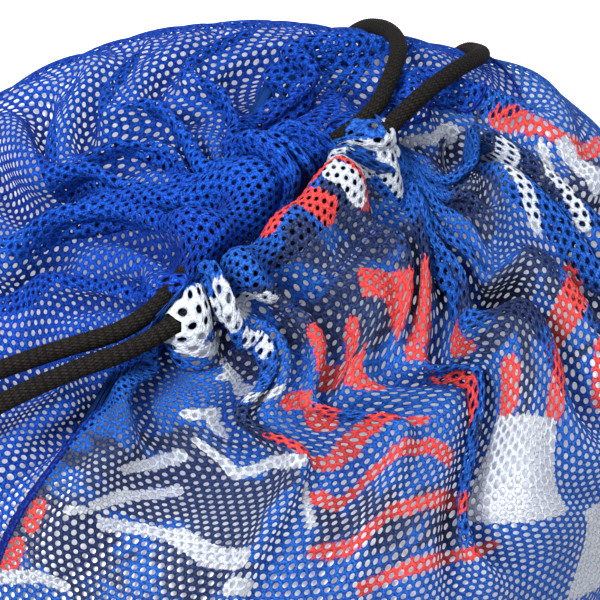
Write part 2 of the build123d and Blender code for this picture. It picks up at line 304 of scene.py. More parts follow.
# The big folds round the bag from the left side seam: each is (strength, [(m, s) down its ridge]).
# The pairs of numbers given to rise() with m_line are heights up the unfolded form, in metres.
BIG_FOLDS = [
    (0.9, [(0.50, 0.018), (0.30, 0.010)]),
    (1.5, [(0.50, 0.088), (0.44, 0.092), (0.30, 0.084)]),
    (0.55, [(0.50, 0.150), (0.44, 0.128), (0.30, 0.130)]),
    (3.0, [(0.505, 0.232), (0.47, 0.196), (0.433, 0.182), (0.391, 0.188), (0.30, 0.192)]),
    (0.7, [(0.50, 0.280), (0.46, 0.262), (0.30, 0.255)]),
    (2.3, [(0.497, 0.387), (0.460, 0.358), (0.421, 0.346), (0.30, 0.340)]),
    (1.1, [(0.50, 0.438), (0.44, 0.425), (0.30, 0.420)]),
    (0.9, [(0.50, 0.498), (0.30, 0.500)]),
    (1.2, [(0.50, 0.540), (0.30, 0.545)]),
    (1.0, [(0.50, 0.575), (0.30, 0.582)]),
    (1.2, [(0.50, 0.603), (0.30, 0.618)]),
    (1.0, [(0.50, 0.634), (0.30, 0.655)]),
    (1.4, [(0.50, 0.683), (0.30, 0.700)]),
    (1.5, [(0.50, 0.765), (0.30, 0.765)]),
    (0.9, [(0.50, 0.838), (0.30, 0.834)]),
    (1.0, [(0.50, 0.903), (0.30, 0.895)]),
]
FINE_FOLDS = 34
FINE_UNEVEN = 0.28
RIDGE_WIDTH = 0.13  # of the way to the next fold
KNIT_GIVE = 1.15  # the knit closes up sideways by this much before it folds
BACK_CALM = 0.45  # the back's folds start this weak and grow towards the mouth
SHARPEST_LEAN = 2.2  # radians that the folded cloth turns from the form
STAND = 0.004  # the folds stand out from the form by up to this
END_DROP = 0.0120  # the gathers sink to let the cords out over them at the ends of the slit
FRONT_LIP_RISE = 0.0025  # the front lip stands over the back one
SWELLS = [(0.74, 0.13, 0.011), (0.445, 0.06, 0.011)]  # where the stuffing fills the shoulder: (s, reach, height)
CRINKLE = 0.0009
LUMP = 0.0030  # the stuffing's unevenness
DRAG = 0.0026  # soft creases down the sides
SAG = 0.0012  # and across them near the base
MOST_LUMP = 0.006


def fold_phase(centres, softness):
    """Rises by one from fold to fold, and is a half at each ridge; centres has a row for each m."""
    count = centres.shape[1]
    phase = np.empty(GRID)
    for i, row in enumerate(centres):
        ridge = np.concatenate([[row[-1] - RING], row, [row[0] + RING]])
        phase[i] = np.interp(s_line, ridge, np.arange(-1, count + 1) + 0.5)
    slope = s_line * count / RING
    return blur(phase - slope, softness) + slope


def doublet(phase, sharp):
    """A fold's lean at each phase: out on its near side and back on its far side."""
    return -np.sin(2 * pi * phase) * (1 - sharp * np.cos(2 * pi * phase))


def narrow(phase, width):
    """The same for a fold that keeps close to its ridge."""
    x = (phase % 1 - 0.5) / width
    return -x * np.exp(0.5 - 0.5 * x * x)


def fold_lean(rng):
    """Which way the cloth leans off the form at each place, before it is scaled to take up its length."""
    ridges = [np.interp(m_line, *zip(*reversed(ridge))) for _, ridge in BIG_FOLDS]
    big_centres = blur(np.stack(ridges), 8, wrap=False).T
    big = fold_phase(big_centres, 5)
    middles = big_centres[len(m_line) * 4 // 5]
    sizes = [size for size, _ in BIG_FOLDS]
    strength = np.interp(s_line, np.concatenate([[middles[-1] - RING], middles, [middles[0] + RING]]),
                         [sizes[-1], *sizes, sizes[0]])
    widths = rng.uniform(0.55, 1.45, FINE_FOLDS)
    fine_at = np.cumsum(widths) / widths.sum() * RING - 0.004
    fine = fold_phase(fine_at + 0.006 * np.sin(16 * m_line[:, None] + 9 * fine_at), 3)
    uneven = 1 + FINE_UNEVEN * soft_noise(rng, GRID, 16, 14)
    weight_big = 1 - 0.72 * rise(m_line, 0.455, 0.505)
    weight_mid = 0.45 * rise(m_line, 0.395, 0.455) * (1 - 0.7 * rise(m_line, 0.465, 0.50))
    weight_fine = 1.4 * rise(m_line, 0.448, 0.492)
    lean = (weight_big[:, None] * (0.65 * narrow(big, RIDGE_WIDTH) + 0.45 * doublet(big, 0.5)) * strength
            + weight_mid[:, None] * doublet(fine / 2, 0.2) * uneven
            + weight_fine[:, None] * doublet(fine, 0.1) * uneven)
    on_back = rise(s_line, PANEL_WIDTH, PANEL_WIDTH + 0.03) * (1 - rise(s_line, RING - 0.04, RING))
    return lean * (1 - on_back * (1 - BACK_CALM) * (1 - rise(m_line, 0.405, 0.445))[:, None])


def taken_up(lean, target):
    """Scales the lean in each ring so that the folds bring its flat length down to the target share."""
    low, high = np.zeros(len(m_line)), np.full(len(m_line), 3.0)
    for _ in range(30):
        middle = (low + high) / 2
        short = np.cos(np.clip(lean * middle[:, None], -SHARPEST_LEAN, SHARPEST_LEAN)).mean(1) < target
        high = np.where(short, middle, high)
        low = np.where(short, low, middle)
    scale = blur(middle[None], 3, wrap=False)[0][:, None]
    return np.clip(lean * scale, -SHARPEST_LEAN, SHARPEST_LEAN)


def unevenness(rng, out, calm):
    """Crinkles, swells and the lumps of the stuffing, added to how far the folds stand out."""
    shoulder = (rise(m_line, 0.24, 0.36) * (1 - rise(m_line, 0.385, 0.45)))[:, None]
    for middle_s, reach, size in SWELLS:
        out += size * shoulder * np.exp(-(((s_line - middle_s) / reach) ** 2))
    crinkle = (0.30 * soft_noise(rng, GRID, 5, 4) + 0.75 * np.abs(soft_noise(rng, GRID, 18, 8))) * CRINKLE
    out += crinkle * (0.30 + 0.70 * rise(m_line, 0.36, 0.47))[:, None] * calm[:, None]
    body = (rise(m_line, 0.02, 0.10) * (1 - rise(m_line, 0.33, 0.40)))[:, None]
    lumps = soft_noise(rng, GRID, 42, 26)
    drag = soft_noise(rng, GRID, 16, 60)
    sag = np.abs(soft_noise(rng, GRID, 34, 5)) * (1 - rise(m_line, 0.10, 0.26))[:, None]
    out += body * np.clip(LUMP * lumps + DRAG * np.abs(drag) - SAG * sag, -MOST_LUMP, MOST_LUMP)


def folded_cloth():
    """Lays the gathered cloth on the form: every ring keeps its flat length as folds."""
    rng = np.random.default_rng(7)
    give = KNIT_GIVE - (KNIT_GIVE - 1) * rise(m_line, 0.41, 0.475)
    lean = taken_up(fold_lean(rng), np.minimum(form_lengths[:, -1] / RING * give, 0.9995))
    along = np.cumsum(np.cos(lean), axis=1)
    along = (along - along[:, :1]) / (along[:, -1:] + np.cos(lean[:, :1])) * form_lengths[:, -1:]
    out = np.cumsum(np.sin(lean), axis=1) * S_STEP
    out -= out[:, -1:] * (s_line / RING)
    out -= blur(out, 45)
    stand = np.minimum(0.25 * np.ptp(out, axis=1), STAND)
    calm = (1 - 0.7 * rise(m_line, HEM_M + 0.013, HEM_M + 0.026)) * (0.25 + 0.75 * rise(m_line, 0.0, 0.06))
    out = (out + stand[:, None]) * calm[:, None]
    unevenness(rng, out, calm)
    place = np.stack([off_form(i, along[i], out[i]) for i in range(len(m_line))])
    x, y, z = place[..., 0], place[..., 1], place[..., 2]
    lip = rise(z, 0.405, 0.428) * rise(m_line, 0.45, HEM_M)[:, None]
    z -= END_DROP * lip * rise(np.abs(x), 0.026, 0.043)
    z += FRONT_LIP_RISE * lip * rise(-y, -0.002, 0.006) * (1 - rise(np.abs(x), 0.020, 0.040))
    z[...] = np.maximum(z, FLOOR_GAP)
    return place, out, along


def with_base(place):
    """Adds the rows under the bag, from the bottom seam out to the base edge."""
    inward = np.arange(-BASE_ROWS, 0) * M_STEP / -BASE_DEPTH
    rows = np.repeat(place[:1], BASE_ROWS, axis=0)
    rows[..., 1] *= (1 - inward)[:, None]
    rows[..., 2] = FLOOR_GAP
    return np.concatenate([rows, place])


BATCH = 4000  # cloth points at a time
STUFFING_MIDDLE = (0, 0, 0.28)
VALLEY_REACH = 0.013  # from a cord's centre line
UNPRESSED = (0.012, 0.024)  # along a cord from its exit, where its valley starts and is whole


def near_line(place, line, reach):
    """Cloth points near a line, in batches: all points, which ones, the line's closest point, the way from it."""
    flat = place.reshape(-1, 3)
    near = np.flatnonzero(np.all((flat > line.min(0) - reach) & (flat < line.max(0) + reach), axis=1))
    for some in np.array_split(near, max(len(near) // BATCH, 1)):
        away = flat[some, None] - line[None]
        closest = np.linalg.norm(away, axis=2).argmin(1)
        yield flat, some, closest, away[np.arange(len(some)), closest]


def clear_of(place, line, clearance):
    """Pushes the cloth away from a line until it is at least the clearance from it."""
    for flat, some, _, away in near_line(place, line, 3 * clearance):
        distance = np.linalg.norm(away, axis=1) + 1e-9
        wanted = (distance**4 + clearance**4) ** 0.25
        flat[some] += away * ((wanted / distance - 1) * (distance < 3 * clearance))[:, None]


def press_under(place, line, clearance):
    """Lays the cloth in a smooth valley under a cord that runs over it."""
    outward = unit(line - STUFFING_MIDDLE)
    starting = rise(np.arange(len(line)) * RUN_STEP, *UNPRESSED)
    for flat, some, closest, away in near_line(place, line, VALLEY_REACH + 0.001):
        up = outward[closest]
        height = (away * up).sum(1)
        sideways = np.linalg.norm(away - height[:, None] * up, axis=1)
        limit = sideways**2 / (1.6 * clearance) - clearance
        drop = np.maximum(height - limit, 0) * (np.linalg.norm(away, axis=1) < VALLEY_REACH) * starting[closest]
        flat[some] -= up * drop[:, None]


BASE_ROWS = int(BASE_DEPTH / M_STEP)
PRESSED_POINTS = 340  # of a run, that lie on the shoulder
folded, fold_out, fold_along = folded_cloth()
place = with_base(folded)
untouched = place.copy()
for line in run_lines.values():
    press_under(place, line[:PRESSED_POINTS], CORD_CLEAR)
    clear_of(place, line[::3], CORD_CLEAR)
place[..., 2] = np.maximum(place[..., 2], FLOOR_GAP)

# The folds lengthen the way up the cloth, so flat places are measured along it: flat_m has one for
# each row of the grid, from the bottom seam through 0 at the base edge to the end of the hem.
row_run = np.linalg.norm(np.diff(place[BASE_ROWS:], axis=0), axis=2).mean(1)
flat_m = np.concatenate([np.arange(-BASE_ROWS, 0) * M_STEP, [0], np.cumsum(row_run)])
FLAT_TOP = flat_m[-1]
FLAT_HEM = float(np.interp(HEM_M, m_line, flat_m[BASE_ROWS:]))


def seam_drift(s, m):
    """How far round the bag the right side seam has slipped, on the shoulder and in the gathers."""
    near = np.exp(-(((s - PANEL_WIDTH) / 0.075) ** 2))
    slip = 0.018 * rise(m, 0.32, 0.42) - 0.040 * rise(m, 0.450, 0.480)
    return slip * near * (1 - rise(m, FLAT_HEM - 0.02, FLAT_HEM + 0.01))


def between(grid, row, column):
    """Bilinear value of a grid that wraps round its columns."""
    i, j = row.astype(int), column.astype(int)
    u, v = row - i, column - j
    if grid.ndim == 3:
        u, v = u[:, None], v[:, None]
    j, k = j % grid.shape[1], (j + 1) % grid.shape[1]
    return (grid[i, j] * (1 - u) + grid[i + 1, j] * u) * (1 - v) + (grid[i, k] * (1 - u) + grid[i + 1, k] * u) * v


def read(grid, s, m):
    """Value of a cloth grid at flat coordinates."""
    row = np.clip(np.interp(m, flat_m, np.arange(len(flat_m))), 0, len(flat_m) - 1.001)
    return between(grid, row, ((s + seam_drift(s, m)) % RING) / S_STEP)


facing = unit(np.cross(np.roll(place, -1, axis=1) - np.roll(place, 1, axis=1), np.gradient(place, axis=0)))
# How far each place lies down in a fold, for the painted shade in the fold valleys.
valley = np.zeros(place.shape[:2])
valley[BASE_ROWS:] = rise(blur(fold_out, 13) - fold_out, 0.0003, 0.0055)


def on_cloth(s, m, lift=0.0):
    """Places on the folded cloth at flat coordinates, lifted off its outside."""
    s, m, lift = np.broadcast_arrays(np.asarray(s, float), m, lift)
    points = read(place, s.ravel(), m.ravel()) + read(facing, s.ravel(), m.ravel()) * lift.ravel()[:, None]
    return points.reshape(*s.shape, 3)


# ---------------------------------------------------------------- materials
class Shader:
    """A node material built up by small calls."""

    def __init__(self, name):
        self.material = bpy.data.materials.new(name)
        self.material.use_nodes = True
        self.nodes, self.links = self.material.node_tree.nodes, self.material.node_tree.links
        self.surface = self.nodes["Principled BSDF"]

    def put(self, socket, value):
        if isinstance(value, bpy.types.NodeSocket):
            self.links.new(value, socket)
        elif isinstance(value, tuple) and socket.type == "RGBA":
            socket.default_value = (*value, 1)[:4]
        else:
            socket.default_value = value

    def node(self, kind, inputs, output=0, **settings):
        node = self.nodes.new("ShaderNode" + kind)
        for label, value in settings.items():
            setattr(node, label, value)
        for label, value in inputs.items():
            self.put(node.inputs[label], value)
        return node.outputs[output]

    def attribute(self, name, output="Fac"):
        return self.node("Attribute", {}, output, attribute_name=name)

    def place(self, name, scale):
        """An attribute vector or object place, scaled."""
        source = self.node("TexCoord", {}, "Object") if name == "object" else self.attribute(name, "Vector")
        scale = scale if isinstance(scale, tuple) else (scale,) * 3
        return self.node("VectorMath", {0: source, 1: scale}, operation="MULTIPLY")

    def noise(self, name, scale, detail=2.0, roughness=0.5, distortion=0.0):
        inputs = {"Vector": self.place(name, scale), "Scale": 1.0, "Detail": detail, "Roughness": roughness,
                  "Distortion": distortion}
        return self.node("TexNoise", inputs, "Fac")

    def math(self, operation, *values):
        return self.node("Math", dict(enumerate(values)), operation=operation)

    def about_zero(self, noise, size):
        """A noise moved and scaled to run from -size / 2 to size / 2."""
        return self.math("MULTIPLY_ADD", noise, size, -size / 2)

    def total(self, *terms):
        """The sum of (value, weight) pairs."""
        parts = [value if weight == 1 else self.math("MULTIPLY", value, weight) for value, weight in terms]
        result = parts[0]
        for part in parts[1:]:
            result = self.math("ADD", result, part)
        return result

    def ramp(self, value, low, high, at_low=0.0, at_high=1.0):
        inputs = {"Value": value, "From Min": low, "From Max": high, "To Min": at_low, "To Max": at_high}
        return self.node("MapRange", inputs, "Result", interpolation_type="SMOOTHSTEP")

    def mix(self, factor, a, b, blend="MIX"):
        return self.node("Mix", {0: factor, 6: a, 7: b}, 2, data_type="RGBA", blend_type=blend)

    def bump(self, height, distance, strength=1.0):
        inputs = {"Height": height, "Distance": distance, "Strength": strength}
        self.links.new(self.node("Bump", inputs), self.surface.inputs["Normal"])

    def finish(self, colour, roughness, **constants):
        self.put(self.surface.inputs["Base Color"], colour)
        self.put(self.surface.inputs["Roughness"], roughness)
        for label, value in constants.items():
            self.surface.inputs[label.replace("_", " ")].default_value = value
        return self.material


# Linear colours.
ROYAL = (0.0022, 0.046, 0.39)
ROYAL_LIT = (0.0050, 0.088, 0.53)
# Painted shade: the blue of the knit's gaps.
ROYAL_GAP_SHADE = (0.0006, 0.006, 0.110)
ROYAL_GLINT = (0.016, 0.20, 0.80)
AZURE = (0.011, 0.098, 0.45)
AZURE_GLINT = (0.06, 0.28, 0.80)
NAVY = (0.007, 0.013, 0.048)
NAVY_SOFT = (0.030, 0.056, 0.170)
NAVY_GLINT = (0.09, 0.16, 0.38)
CORAL = (0.84, 0.085, 0.070)
# Painted shade: coral in the knit's gaps.
CORAL_GAP_SHADE = (0.44, 0.016, 0.030)
WHITE = (0.60, 0.64, 0.68)
# Painted shade: white in the knit's gaps.
WHITE_GAP_SHADE = (0.33, 0.38, 0.50)
RIM_SHADE = (0.25, 0.28, 0.45)
VALLEY_SHADE = (0.18, 0.22, 0.40)
DULL = 0.14  # specular level of yarn


def knit(shader):
    """Speckle and small loops of a fine knit, on the flat cloth: returns its fleck, 0 to 1."""
    fleck = shader.noise("flat", 1250.0, detail=3.0, roughness=0.7)
    courses = shader.place("flat", (2300.0, 1500.0, 1.0))
    loops = shader.node("TexVoronoi", {"Vector": courses, "Scale": 1.0}, "Distance")
    shader.bump(shader.total((fleck, 0.9), (loops, 0.9)), 0.00045)
    return fleck


def speckle_with_painted_light(shader, fleck, colour, gap_shade, glint, shade_share, glint_share, shade_to=0.60):
    """Yarn with painted shade in its gaps and a few painted highlights."""
    colour = shader.mix(shader.ramp(fleck, 0.48, shade_to, 0.0, shade_share), colour, gap_shade)
    return shader.mix(shader.ramp(fleck, 0.34, 0.44, glint_share, 0.0), colour, glint)


def finish_cloth(shader, fleck, colour, depth):
    """Painted shade at the edges of the holes and deep in the folds."""
    rim = shader.math("MULTIPLY", shader.ramp(shader.attribute("rim"), 0.35, 1.0), depth)
    colour = shader.mix(rim, colour, shader.mix(1.0, colour, RIM_SHADE, "MULTIPLY"))
    valley_depth = shader.math("MULTIPLY", shader.attribute("valley"), 0.75)
    colour = shader.mix(valley_depth, colour, shader.mix(1.0, colour, VALLEY_SHADE, "MULTIPLY"))
    return shader.finish(colour, shader.ramp(fleck, 0.3, 0.7, 0.55, 0.75), Specular_IOR_Level=DULL)


def make_plain():
    shader = Shader("plain royal mesh")
    fleck = knit(shader)
    # Painted light: the blue lightens in broad patches to its lit copy.
    lit_drift = shader.noise("flat", 9.0, detail=3.0)
    royal = shader.mix(shader.ramp(lit_drift, 0.3, 0.7), ROYAL, ROYAL_LIT)
    royal = speckle_with_painted_light(shader, fleck, royal, ROYAL_GAP_SHADE, ROYAL_GLINT, 0.85, 0.65, 0.58)
    return finish_cloth(shader, fleck, royal, 0.7)


def make_printed():
    """Painted look in four inks; each ink's edge is ragged like a dry brush."""
    shader = Shader("printed mesh")
    fleck = knit(shader)
    fine = shader.noise("flat", 420.0, detail=3.0, roughness=0.6)
    broad = shader.noise("flat", (60.0, 85.0, 1.0), detail=3.0, distortion=0.6)
    ragged = shader.math("ADD", shader.about_zero(fine, 4.2), shader.about_zero(fleck, 2.2))

    def inked(label, loose=1.0):
        edge = shader.total((shader.attribute(label), 1), (ragged, loose))
        return shader.ramp(edge, -0.3, 0.3, 1.0, 0.0)

    azure = speckle_with_painted_light(shader, fleck, AZURE, ROYAL_GAP_SHADE, AZURE_GLINT, 0.80, 0.60)
    navy = shader.mix(shader.ramp(fleck, 0.40, 0.56), NAVY_SOFT, NAVY)
    navy = shader.mix(shader.ramp(fleck, 0.32, 0.42, 0.45, 0.0), navy, NAVY_GLINT)
    mottle = shader.total((shader.about_zero(broad, 46.0), 1), (shader.attribute("navy"), 1), (ragged, 1.6))
    colour = shader.mix(shader.ramp(mottle, -3.0, 3.0, 1.0, 0.0), azure, navy)
    # Painted shade: the coral and white inks darken in the knit's gaps.
    coral = shader.mix(shader.ramp(fleck, 0.40, 0.62), CORAL, CORAL_GAP_SHADE)
    white = shader.mix(shader.ramp(fleck, 0.46, 0.62), WHITE, WHITE_GAP_SHADE)
    colour = shader.mix(inked("coral"), colour, coral)
    colour = shader.mix(inked("white", 0.7), colour, white)
    return finish_cloth(shader, fleck, colour, 0.6)


def make_binding():
    shader = Shader("royal seam")
    fleck = knit(shader)
    # Painted shade: the seam is mostly darkened to the blue of the knit's gaps, for the shade of the crease it lies
    # in.
    return shader.finish(shader.mix(shader.ramp(fleck, 0.32, 0.48), ROYAL, ROYAL_GAP_SHADE), 0.7, Specular_IOR_Level=DULL)


def make_packing():
    shader = Shader("packing tissue")
    crumple = shader.noise("object", 55.0, detail=5.0, roughness=0.6)
    fibre = shader.noise("object", 1400.0)
    shader.bump(shader.total((crumple, 1), (fibre, 0.05)), 0.0012, 0.6)
    # Painted shade: the paper is darker and bluer where its crumples dip.
    colour = shader.mix(shader.ramp(crumple, 0.3, 0.7), (0.84, 0.84, 0.93), (0.92, 0.92, 0.97))
    # Painted light: a faint blue-white glow makes the paper look lit through the holes.
    return shader.finish(colour, 0.9, Emission_Color=(0.80, 0.84, 1.0, 1), Emission_Strength=0.07)


def make_cord():
    shader = Shader("black braid")
    fuzz = shader.noise("object", 2600.0, detail=3.0, roughness=0.7)
    strand = shader.noise("braid", (2600.0, 900.0, 1.0))
    ridge = shader.node("SeparateXYZ", {0: shader.attribute("braid", "Vector")}, "Z")
    shader.bump(shader.math("ADD", fuzz, strand), 0.00030)
    yarn = shader.mix(shader.ramp(fuzz, 0.42, 0.60), (0.0026, 0.0024, 0.0028), (0.036, 0.029, 0.024))
    # Painted shade: near black in the grooves between the strands, up to the yarn colour on their crowns.
    colour = shader.mix(shader.ramp(ridge, 0.30, 0.85), (0.0012, 0.0012, 0.0014), yarn)
    return shader.finish(colour, shader.ramp(fuzz, 0.3, 0.7, 0.75, 0.95), Specular_IOR_Level=DULL)


def make_webbing():
    shader = Shader("black webbing")
    across = shader.place("object", 420.0)
    ribs = shader.math("SINE", shader.math("MULTIPLY", shader.node("SeparateXYZ", {0: across}, "Z"), 6.283))
    picks = shader.math("SINE", shader.math("MULTIPLY", shader.node("SeparateXYZ", {0: across}, "X"), 9.4))
    weave = shader.total((ribs, 0.6), (shader.math("MULTIPLY", ribs, picks), 0.5))
    fuzz = shader.noise("object", 4200.0)
    shader.bump(shader.math("ADD", weave, fuzz), 0.00025, 0.8)
    # Painted shade: darker in the weave's grooves, lighter on its ribs.
    colour = shader.mix(shader.ramp(weave, -0.6, 0.8), (0.006, 0.006, 0.008), (0.030, 0.030, 0.034))
    return shader.finish(colour, 0.7, Sheen_Weight=0.2)


def make_metal():
    shader = Shader("blackened brass")
    wear = shader.noise("object", 320.0, detail=4.0, roughness=0.6)
    scratch = shader.noise("object", (2400.0, 200.0, 900.0))
    shader.bump(scratch, 0.00003, 0.5)
    colour = shader.mix(shader.ramp(wear, 0.45, 0.75), (0.11, 0.11, 0.12), (0.34, 0.33, 0.32))
    return shader.finish(colour, shader.ramp(wear, 0.3, 0.7, 0.24, 0.42), Metallic=1.0)


def make_thread(name, light, dark):
    shader = Shader(name)
    twist = shader.noise("object", 3600.0)
    shader.bump(twist, 0.0001, 0.7)
    return shader.finish(shader.mix(shader.ramp(twist, 0.35, 0.65), light, dark), 0.65, Specular_IOR_Level=0.2)


PLAIN, PRINTED, BINDING, PACKING = make_plain(), make_printed(), make_binding(), make_packing()
CORD, WEBBING, METAL = make_cord(), make_webbing(), make_metal()
THREAD = make_thread("royal thread", (0.0022, 0.044, 0.40), (0.0010, 0.012, 0.16))
TAB_THREAD = make_thread("black thread", (0.035, 0.035, 0.038), (0.010, 0.010, 0.012))


def dress_hardware():
    """Better materials on the CAD pieces that stay."""
    dressed = {"corner_tab": WEBBING, "eyelet": METAL, "eyelet_washer": METAL, "tab_stitching": TAB_THREAD}
    for side in SIDES:
        for node, material in dressed.items():
            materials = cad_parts[f"{side}_{node}"].data.materials
            materials.clear()
            materials.append(material)


# ---------------------------------------------------------------- print
# Brush strokes on the flat front panel: (width, [(s, m), ...]) in millimetres.  Most of their places
# came out of a separate mapping script, and were then thinned, moved and added to by hand.
CORAL_STROKES = [
    (6, [(132, 533), (136, 521), (155, 515), (151, 528)]), (6.5, [(162, 514), (168, 505)]),
    (6, [(120, 515), (132, 511), (122, 500), (135, 504)]),
    (6, [(86, 494), (90, 487), (105, 483), (122, 491), (136, 490), (149, 486)]),
    (5.5, [(102, 470), (112, 465), (120, 475), (134, 477), (148, 475), (160, 465)]),
    (5.5, [(112, 447), (126, 446), (138, 455), (161, 452), (187, 446)]),
    (5, [(134, 432), (150, 435), (174, 432), (203, 428)]), (10, [(163, 534), (183, 519)]),
    (10.5, [(203, 518), (200, 510)]), (5, [(198, 517), (191, 507), (202, 495), (199, 488)]),
    (10.5, [(229, 499), (227, 494)]), (10.5, [(200, 488), (200, 478)]),
    (10.5, [(229, 474), (225, 467)]), (11, [(330, 456), (292, 464), (260, 460), (250, 452)]),
    (5.5, [(297, 446), (284, 436)]), (6, [(450, 469), (435, 457), (428, 440), (414, 425)]),
    (6, [(4, 441), (5, 434)]), (6.5, [(4, 424), (4, 412)]), (9, [(165, 569), (168, 560)]),
    (11, [(148, 574), (170, 580), (190, 574)]), (8, [(187, 570), (184, 554)]),
]
WHITE_STROKES = [
    (2.5, [(96, 475), (106, 457)]), (4.5, [(54, 498), (62, 485), (74, 488), (89, 482)]),
    (5, [(54, 510), (62, 514), (65, 505)]), (7.5, [(55, 452), (70, 446), (84, 445)]),
    (6, [(84, 436), (91, 436)]), (5, [(112, 554), (129, 551)]),
    (4.5, [(85, 559), (107, 559), (118, 550)]),
    (4.5, [(57, 544), (66, 526), (87, 517), (113, 519)]), (4.5, [(85, 539), (85, 552)]),
    (4.5, [(49, 557), (63, 550)]), (4, [(55, 537), (62, 533)]),
    (5, [(24, 452), (33, 464), (45, 475)]), (3, [(16, 445), (21, 448)]),
    (4.5, [(26, 474), (37, 486), (45, 491)]), (5, [(30, 447), (42, 451), (55, 452)]),
    (5, [(3, 408), (17, 418), (26, 418)]), (4.5, [(453, 516), (452, 500), (449, 487)]),
    (3.5, [(445, 487), (437, 500)]), (10, [(446, 572), (451, 560)]), (12, [(405, 580), (425, 573)]),
    (8, [(190, 569), (192, 562)]), (8, [(178, 569), (181, 557)]), (7, [(178, 582), (186, 574)]),
    (6, [(397, 482), (352, 482), (336, 475)]), (5.5, [(426, 455), (392, 469), (377, 457)]),
    (8, [(428, 445), (412, 439)]), (13, [(205, 580), (225, 584), (245, 578)]),
    (10, [(200, 564), (207, 554)]), (11, [(36, 562), (60, 567), (84, 562)]),
    (9, [(100, 566), (112, 560)]), (9, [(240, 560), (275, 562)]),
]
NAVY_STROKES = [
    (21, [(131, 541), (149, 536), (166, 520)]), (10, [(144, 534), (147, 523)]),
    (16, [(56, 555), (69, 534)]), (21, [(85, 507), (75, 470)]),
    (32, [(49, 486), (71, 462), (70, 439)]), (18, [(10, 466), (38, 482)]),
    (30, [(6, 440), (28, 434)]), (16, [(20, 470), (40, 462)]), (14, [(112, 458), (170, 444)]),
    (16, [(182, 526), (238, 508)]), (24, [(296, 488), (246, 479)]), (13, [(342, 450), (297, 448)]),
    (32, [(391, 472), (409, 442)]), (24, [(368, 505), (332, 507)]), (14, [(171, 541), (204, 526)]),
    (21, [(185, 556), (181, 539)]), (16, [(440, 508), (443, 482)]), (8, [(217, 481), (188, 472)]),
    (8, [(246, 472), (234, 460)]), (14, [(154, 563), (155, 546)]),
]

# White blocks of the print, as in a chequer: (middle s, middle m, width, height, tilt), in millimetres
# and degrees.  The first two were placed from the same mapping script, and the rest by hand.
WHITE_BLOCKS = [
    (225, 444, 37, 31, -33), (238, 390, 31, 36, -33), (167, 339, 34, 34, 0), (201, 305, 34, 34, 0),
    (317, 330, 34, 34, 0), (77, 267, 34, 34, 0), (43, 233, 34, 34, 0), (399, 232, 34, 34, 0),
    (217, 167, 34, 34, 0), (107, 77, 34, 34, 0), (347, 57, 34, 34, 0), (381, 91, 34, 34, 0),
]

# Groups of brush strokes lower on the print: (middle s, highest m, tilt), or (middle s, highest m).
CORAL_GROUPS = [
    (345, 352, 0.25), (60, 330, -0.2), (215, 292, -0.35), (395, 268, 0.1), (95, 205, 0.3),
    (300, 196, -0.2), (405, 128, 0.3), (170, 112, 0.15), (330, 62, -0.3), (60, 40, 0.1),
]
WHITE_GROUPS = [
    (250, 345, -0.2), (120, 272, 0.25), (330, 258, 0.3), (200, 208, -0.1), (390, 190, -0.3),
    (70, 138, 0.2), (270, 108, 0.2), (160, 30, -0.2), (400, 40, 0.2),
]
NAVY_GROUPS = [
    (110, 340), (280, 318), (420, 322), (40, 250), (180, 232), (350, 214), (110, 150), (240, 150),
    (420, 170), (330, 110), (60, 80), (200, 62), (430, 62), (300, 0), (120, -20),
]


def coral_stroke(count, middle, top, tilt, band):
    half = 34 - 4 * abs(band - 1)
    top -= 15 * band
    wave = [(middle + x, top + tilt * x + 5 * cos(x / half * pi + count)) for x in range(-half, half + 1, 8)]
    return 5 + band % 2, wave


def white_stroke(count, middle, top, tilt, band):
    top -= 17 * band
    wave = [(middle + x, top + tilt * x + 6 * sin(x / 9 + band + count)) for x in range(-30, 31, 5)]
    return 3 + band % 2, wave


CORAL_BELOW = [coral_stroke(i, *group, band) for i, group in enumerate(CORAL_GROUPS) for band in range(4)]
WHITE_BELOW = [white_stroke(i, *group, band) for i, group in enumerate(WHITE_GROUPS) for band in range(3)]
NAVY_BELOW = [(46, [(middle - 26, top), (middle + 26, top - 14)]) for middle, top in NAVY_GROUPS]
MM = 1000
INK_MARGIN = 5  # millimetres that the fields run on past the panel
LOWEST_INK = -int(BASE_DEPTH * MM) - INK_MARGIN
FURTHEST = 60.0


def ink_field(strokes, blocks=()):
    """How far outside the nearest stroke each place on the panel is, in millimetres; negative inside."""
    s = np.arange(-INK_MARGIN, int(PANEL_WIDTH * MM) + INK_MARGIN + 1)
    m = np.arange(LOWEST_INK, int(FLAT_TOP * MM) + INK_MARGIN + 1)
    grid_s, grid_m = np.meshgrid(s, m)
    field = np.full(grid_s.shape, FURTHEST)
    for width, points in strokes:
        points = np.array(points, float)
        for (s0, m0), (s1, m1) in zip(points[:-1], points[1:]):
            rows = slice(*np.searchsorted(m, [min(m0, m1) - FURTHEST, max(m0, m1) + FURTHEST]))
            columns = slice(*np.searchsorted(s, [min(s0, s1) - FURTHEST, max(s0, s1) + FURTHEST]))
            ds, dm = s1 - s0, m1 - m0
            gs, gm = grid_s[rows, columns] - s0, grid_m[rows, columns] - m0
            t = np.clip((gs * ds + gm * dm) / max(ds * ds + dm * dm, 1e-9), 0, 1)
            away = np.hypot(gs - t * ds, gm - t * dm) - width / 2
            field[rows, columns] = np.minimum(field[rows, columns], away)
    for middle_s, middle_m, width, height, tilt in blocks:
        along, across = cos(radians(tilt)), sin(radians(tilt))
        gs, gm = grid_s - middle_s, grid_m - middle_m
        away = np.maximum(np.abs(gs * along + gm * across) - width / 2, np.abs(gm * along - gs * across) - height / 2)
        field = np.minimum(field, away)
    return field


def read_ink(field, s, m):
    column = np.clip(s * MM + INK_MARGIN, 0, field.shape[1] - 1.001)
    row = np.clip(m * MM - LOWEST_INK, 0, field.shape[0] - 1.001)
    return between(field, row, column)


